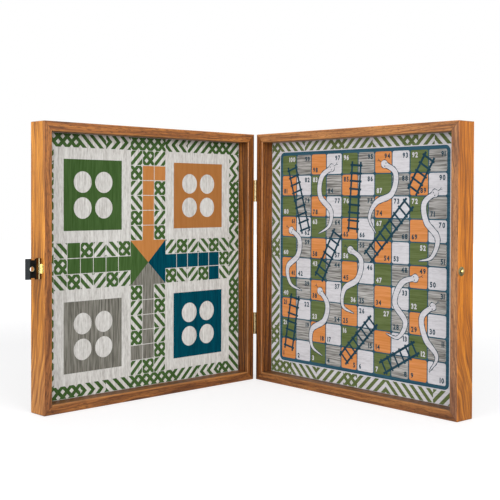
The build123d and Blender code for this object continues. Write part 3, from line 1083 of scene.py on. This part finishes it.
def dress_boards():
    dress("ludo_board", pale_veneer("ludo_ground", "up", LUDO_PALE, ludo_face))
    dress("snakes_board", pale_veneer("snakes_ground", "right", SNAKES_PALE, snakes_face))
    dress("chess_board", ink("chess_ground", "up", *WALNUT, chess_face))
    dress("backgammon_board", ink("backgammon_ground", "up", *WALNUT, backgammon_face))
    core = ink("core", "up", (170, 140, 100), (190, 160, 118))
    dress("ludo_core_panel", core)
    dress("snakes_core_panel", core)


BARREL_RIDGE = Vector((-1.5, -0.6, 0.0)) * MM
HOLE_REACH = 10.9 * MM

# Where each mark on the latch begins to show and where it is whole: a painted highlight on the
# ridge, a painted brown reflection at the fold, a painted sheen on the lip, bare metal round the
# hole, and bare brass on the tongue that is also a painted highlight.
RIDGE_HIGHLIGHT = (0.8 * MM, 0.3 * MM)  # from the ridge of the knuckles
FOLD_REFLECTION = (6.4 * MM, 4.6 * MM)  # from the latch's pin
LIP_SHEEN = (13.0 * MM, 14.0 * MM)
HOLE_WEAR = (3.2 * MM, 2.7 * MM)  # from the middle of the hole
TONGUE_EDGE = (1.45 * MM, 1.75 * MM)  # from the pin towards the rim


def from_upright(look, place, middle):
    """Distance from an upright line through a point."""
    x, y, _ = look.parts(place)
    return look.length(look.join(look.minus(x, middle.x), look.minus(y, middle.y)))


def worn_barrel(look, place):
    """A painted highlight along the latch's knuckles."""
    return look.fade(from_upright(look, place, latch_axis + BARREL_RIDGE), *RIDGE_HIGHLIGHT)


def worn_flap(look, colour, place, bright, brown_reflection, sheen):
    """The flap's black finish: a painted brown reflection at the fold, a painted sheen on the lip,
    bare metal round the hole, and a painted highlight on the ridge.
    """
    reach = from_upright(look, place, latch_axis)
    colour = look.mix(look.times(look.fade(reach, *FOLD_REFLECTION), 0.85), colour, brown_reflection)
    colour = look.mix(look.fade(reach, *LIP_SHEEN), colour, sheen)
    x, _, z = look.parts(place)
    beside = look.minus(x, latch_axis.x - HOLE_REACH)
    from_hole = look.length(look.join(beside, look.minus(z, latch_axis.z)))
    colour = look.mix(look.times(look.fade(from_hole, *HOLE_WEAR), 0.8), colour, bright)
    return look.mix(worn_barrel(look, place), colour, bright)


def worn_base(look, colour, place, bright, gold):
    """The latch's plate: a tongue towards the rim of bare polished brass, painted near white as a
    highlight, and a painted highlight on the ridge of its knuckle.
    """
    rimwards = look.minus(latch_axis.y, look.parts(place)[1])
    colour = look.mix(look.fade(rimwards, *TONGUE_EDGE), colour, gold)
    return look.mix(worn_barrel(look, place), colour, bright)


# ======== screws and nails
SLOT_WIDTH = 0.7
SLOT_DEPTH = 0.5
SLOT_LENGTH = 3  # in radii of the head, so that it runs right across
SLOT_ANGLES = (25, -40, 70, 5, -15, 55, -65, 35)  # no two screws stopped alike
NAIL_SHANK = 0.6
NAIL_DOME = 0.45


def outward_axes(place, outwards, angle=0.0):
    """Axes with Z out of the wood, turned about it by an angle in degrees."""
    turn = Matrix.Rotation(radians(angle), 4, "Z")
    return axes_at(place, UP, outwards.cross(UP), outwards) @ turn @ Matrix.Scale(MM, 4)


def turned_solid(target, axes, profile, steps=28):
    """A turned solid from (radius, height) pairs, from its foot to its top."""
    rings = []
    for radius, height in profile:
        outline = circle(0, 0, radius, steps)
        rings.append([target.verts.new(axes @ Vector((u, v, height))) for u, v in outline])
    for low, high in zip(rings, rings[1:]):
        for index in range(steps):
            target.faces.new((low[index - 1], low[index], high[index], high[index - 1]))
    target.faces.new(rings[0][::-1])
    target.faces.new(rings[-1])


def object_from(name, shape):
    mesh = bpy.data.meshes.new(name)
    shape.to_mesh(mesh)
    shape.free()
    return linked(name, mesh)


def cut(piece, tool):
    """Takes the tool's shape out of the piece, for good."""
    modifier = piece.modifiers.new("cut", "BOOLEAN")
    modifier.object = tool
    modifier.operation = "DIFFERENCE"
    evaluated = piece.evaluated_get(bpy.context.evaluated_depsgraph_get())
    mesh = bpy.data.meshes.new_from_object(evaluated)
    piece.modifiers.clear()
    piece.data = mesh
    bpy.data.objects.remove(tool)


def slotted_screws(level, tray, angles, material):
    """The heads of a leaf's two screws, flush with the leaf, each with its slot."""
    low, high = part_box(f"{level}_hinge_ludo_screws")
    radius = (high.y - low.y) / 2
    thickness = (high.x - low.x) / MM
    heads, slots = bmesh.new(), bmesh.new()
    for z in (low.z + radius, high.z - radius):
        place, outwards = Vector((high.x, (low.y + high.y) / 2, z)), X_AXIS
        if tray == "snakes":
            place.y = across_fold(place.y)
            place, outwards = swing @ place, swing.to_3x3() @ outwards
        axes = outward_axes(place, outwards, next(angles))
        turned_solid(heads, axes, [(radius / MM / 2, -thickness), (radius / MM, 0.0)])
        slot = Matrix.Diagonal((SLOT_LENGTH * radius / MM, SLOT_WIDTH, 2 * SLOT_DEPTH, 1.0))
        bmesh.ops.create_cube(slots, size=1.0, matrix=axes @ slot)
    piece = object_from(f"{level}_{tray}_slotted_screws", heads)
    cut(piece, object_from("slots", slots))
    coat(piece, material)
    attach(piece, f"{tray}_tray")
    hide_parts(f"{level}_hinge_{tray}_screws")


def domed_nails(material):
    """The two nails of the latch's plate, with domed heads."""
    low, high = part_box("latch_nails")
    radius = (high.y - low.y) / 2
    length = (high.x - low.x) / MM
    arc = [radians(angle) for angle in range(0, 90, 20)]
    dome = [(radius / MM * cos(a), NAIL_DOME * (sin(a) - 1)) for a in arc]
    nails = bmesh.new()
    for z in (low.z + radius, high.z - radius):
        axes = outward_axes(Vector((low.x, (low.y + high.y) / 2, z)), -X_AXIS)
        turned_solid(nails, axes, [(NAIL_SHANK, -length), (NAIL_SHANK, -NAIL_DOME)] + dome)
    piece = object_from("latch_domed_nails", nails)
    piece.data.polygons.foreach_set("use_smooth", [True] * len(piece.data.polygons))
    coat(piece, material)
    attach(piece, "ludo_tray")
    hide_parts("latch_nails")


def dress_metal():
    # gold is the tongue's bare brass, painted near white as a highlight.
    black, soot, gold = (38, 37, 34), (12, 12, 12), (255, 240, 172)
    # Bare brass that also paints the latch's highlights, a painted brown reflection of the wood,
    # and a painted sheen.
    bare_and_highlight, brown_reflection, sheen = (216, 204, 158), (104, 68, 26), (60, 64, 66)
    hinge = metal("hinge_brass", (168, 152, 116), (100, 88, 62), 0.36, 1.0)
    bright = metal("bright_brass", (226, 196, 128), (150, 124, 70), 0.3, 2.0, amount=0.2)
    olive = metal("olive_brass", (158, 152, 112), (84, 80, 52), 0.32, 4.0, amount=0.6)
    flap = metal("black_flap", black, soot, 0.22, 3.0, 0.5, worn_flap, bare_and_highlight, brown_reflection, sheen)
    base = metal("black_base", black, soot, 0.24, 5.0, 0.5, worn_base, bare_and_highlight, gold)
    angles = iter(SLOT_ANGLES)
    for level in ("upper", "lower"):
        for part in ("ludo_leaf", "snakes_leaf", "pin"):
            dress(f"{level}_hinge_{part}", hinge)
        for tray in ("ludo", "snakes"):
            slotted_screws(level, tray, angles, bright)
    domed_nails(bright)
    for node in ("latch_pin", "catch_stud"):
        dress(node, bright)
    dress("catch_rosette", olive)
    dress("latch_base", base)
    dress("latch_flap", flap)


add_camera()
add_world()
add_floor()
add_softboxes()
dress_frames()
dress_boards()
dress_metal()
print_ludo()
print_snakes()
print_chess()
print_backgammon()
